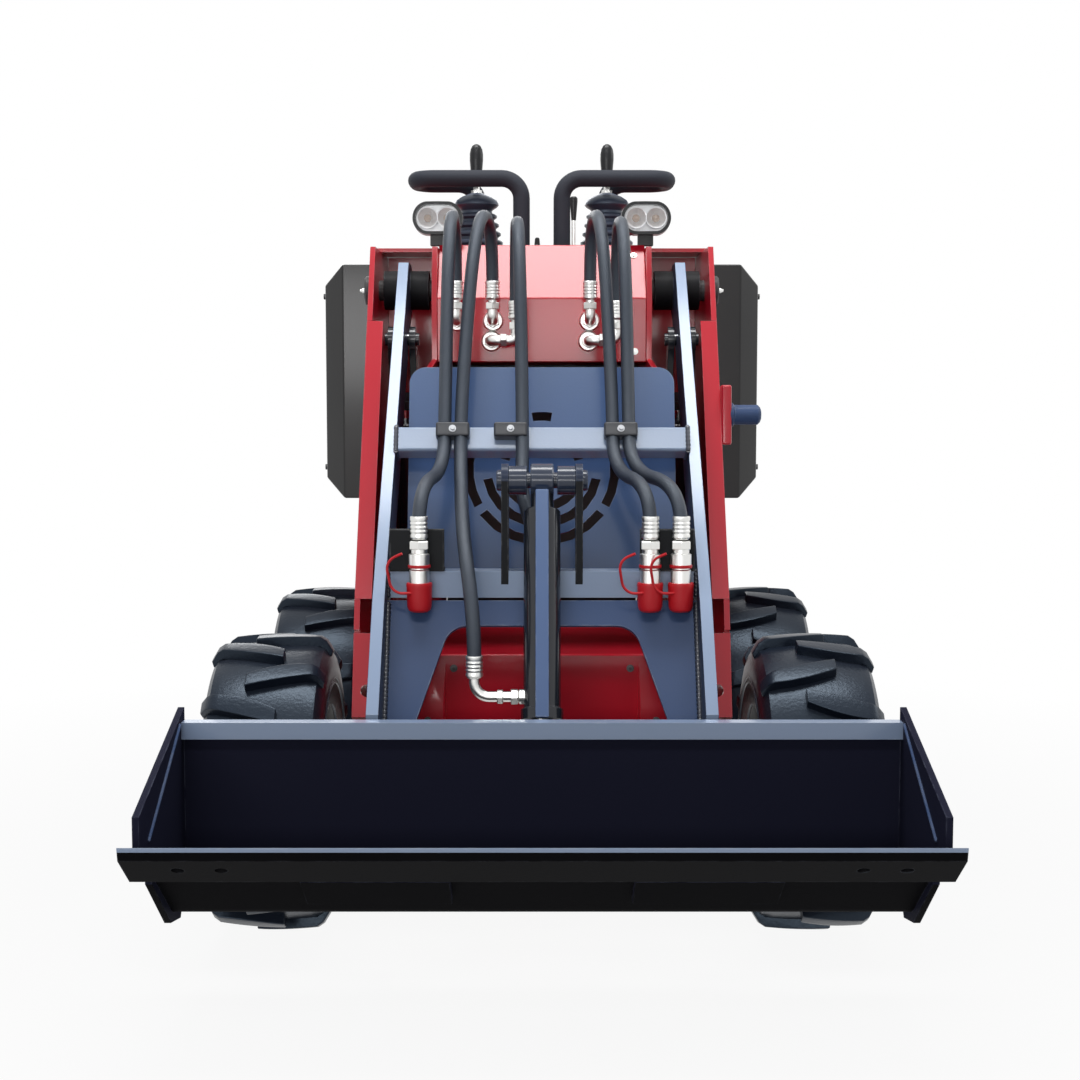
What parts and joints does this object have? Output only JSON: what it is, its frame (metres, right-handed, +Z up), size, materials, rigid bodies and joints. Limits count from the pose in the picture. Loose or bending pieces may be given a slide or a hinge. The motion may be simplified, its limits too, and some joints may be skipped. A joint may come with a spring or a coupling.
{
  "type": "stand-on skid steer loader",
  "caption": "Compact wheeled stand-on loader with twin lift arms, a tilting bucket, tower frame, operator platform and hand controls.",
  "frame": {"origin": "centre of the footprint at ground level", "axes": "+Z up, -Y forward towards the bucket, +X towards the machine's left"},
  "size_m": [1.15, 2.12, 1.43],
  "materials": {
    "red_paint": "gloss",
    "slate_paint": "satin",
    "black_paint": "satin",
    "bucket_paint": "satin",
    "dark_steel": "matte",
    "zinc": "satin",
    "foam": "matte",
    "rubber": "matte",
    "knob": "satin",
    "lens": "clear",
    "hose": "matte",
    "red_cap": "matte",
    "chrome_rod": "polished",
    "worn_steel": "satin",
    "tyre": "matte",
    "rim_paint": "satin"
  },
  "bodies": {
    "chassis": {"chassis_frame": "red_paint", "stub_axles": "dark_steel", "tower_left": "red_paint", "tower_right": "red_paint", "arm_pivot_pins": "zinc", "lift_base_pins": "zinc", "guard_plate": "slate_paint", "hood": "red_paint", "console_top": "black_paint", "side_cover_left": "black_paint", "side_cover_right": "black_paint", "rear_hood": "red_paint", "engine_block": "dark_steel", "platform": "black_paint", "thigh_pad": "foam", "grip_bars": "foam", "joystick_boots": "rubber", "joystick_levers": "knob", "throttle_lever": "knob", "work_lamps": "knob", "lamp_lenses": "lens", "bulkhead_fittings": "zinc", "lock_pin": "red_paint", "hoses_upper": "hose"},
    "lift_arms": {"arm_left": "slate_paint", "arm_right": "slate_paint", "upper_cross_tube": "slate_paint", "lower_cross_tube": "slate_paint", "tilt_pin": "zinc", "arch_plate": "slate_paint", "hose_clamps": "knob", "coupler_brackets": "slate_paint", "couplers": "zinc", "coupler_caps": "red_cap", "hoses_lower": "hose", "tilt_hoses": "hose"},
    "bucket": {"bucket_shell": "bucket_paint", "cutting_edge": "worn_steel", "attach_plate": "bucket_paint", "hinge_pins": "zinc"},
    "tilt_cylinder_barrel": {"tilt_barrel": "black_paint"},
    "tilt_cylinder_rod": {"tilt_rod": "chrome_rod"},
    "lift_cylinder_barrels": {"lift_barrels": "black_paint"},
    "lift_cylinder_rods": {"lift_rods": "chrome_rod"},
    "wheel_front_left": {"tyre_front_left": "tyre", "rim_front_left": "rim_paint"},
    "wheel_front_right": {"tyre_front_right": "tyre", "rim_front_right": "rim_paint"},
    "wheel_rear_left": {"tyre_rear_left": "tyre", "rim_rear_left": "rim_paint"},
    "wheel_rear_right": {"tyre_rear_right": "tyre", "rim_rear_right": "rim_paint"}
  },
  "joints": [
    {"name": "arm_lift", "type": "hinge", "parent": "chassis", "child": "lift_arms", "pos_m": [0, 0.04, 1.12], "axis": [-1, 0, 0], "range_deg": [-5, 80], "deforming": ["hoses_upper"]},
    {"name": "bucket_tilt", "type": "hinge", "parent": "lift_arms", "child": "bucket", "pos_m": [0, -0.675, 0.17], "axis": [1, 0, 0], "range_deg": [0, 92], "deforming": ["tilt_hoses"]},
    {"name": "lift_cylinder_swing", "type": "hinge", "parent": "chassis", "child": "lift_cylinder_barrels", "pos_m": [0, 0.155, 0.577], "axis": [1, 0, 0], "range_deg": [-6, 2]},
    {"name": "lift_rod_slide", "type": "slide", "parent": "lift_cylinder_barrels", "child": "lift_cylinder_rods", "axis": [0, -0.4363, 0.8998], "range_m": [-0.02, 0.2]},
    {"name": "tilt_cylinder_swing", "type": "hinge", "parent": "lift_arms", "child": "tilt_cylinder_barrel", "pos_m": [0, -0.505, 0.778], "axis": [1, 0, 0], "range_deg": [-10, 2]},
    {"name": "tilt_rod_slide", "type": "slide", "parent": "tilt_cylinder_barrel", "child": "tilt_cylinder_rod", "axis": [0, -0.3386, -0.9409], "range_m": [-0.01, 0.19]},
    {"name": "wheel_spin_front_left", "type": "hinge", "parent": "chassis", "child": "wheel_front_left", "pos_m": [0.458, -0.4, 0.254], "axis": [1, 0, 0], "continuous": true},
    {"name": "wheel_spin_front_right", "type": "hinge", "parent": "chassis", "child": "wheel_front_right", "pos_m": [-0.458, -0.4, 0.254], "axis": [1, 0, 0], "continuous": true},
    {"name": "wheel_spin_rear_left", "type": "hinge", "parent": "chassis", "child": "wheel_rear_left", "pos_m": [0.458, 0.32, 0.254], "axis": [1, 0, 0], "continuous": true},
    {"name": "wheel_spin_rear_right", "type": "hinge", "parent": "chassis", "child": "wheel_rear_right", "pos_m": [-0.458, 0.32, 0.254], "axis": [1, 0, 0], "continuous": true}
  ],
  "couplings": [
    {"joint": "lift_cylinder_swing", "follows": "arm_lift", "ratio": -0.05183},
    {"joint": "lift_rod_slide", "follows": "arm_lift", "m_per_rad": 0.12712},
    {"joint": "tilt_cylinder_swing", "follows": "bucket_tilt", "ratio": -0.09438},
    {"joint": "tilt_rod_slide", "follows": "bucket_tilt", "m_per_rad": 0.10176}
  ]
}
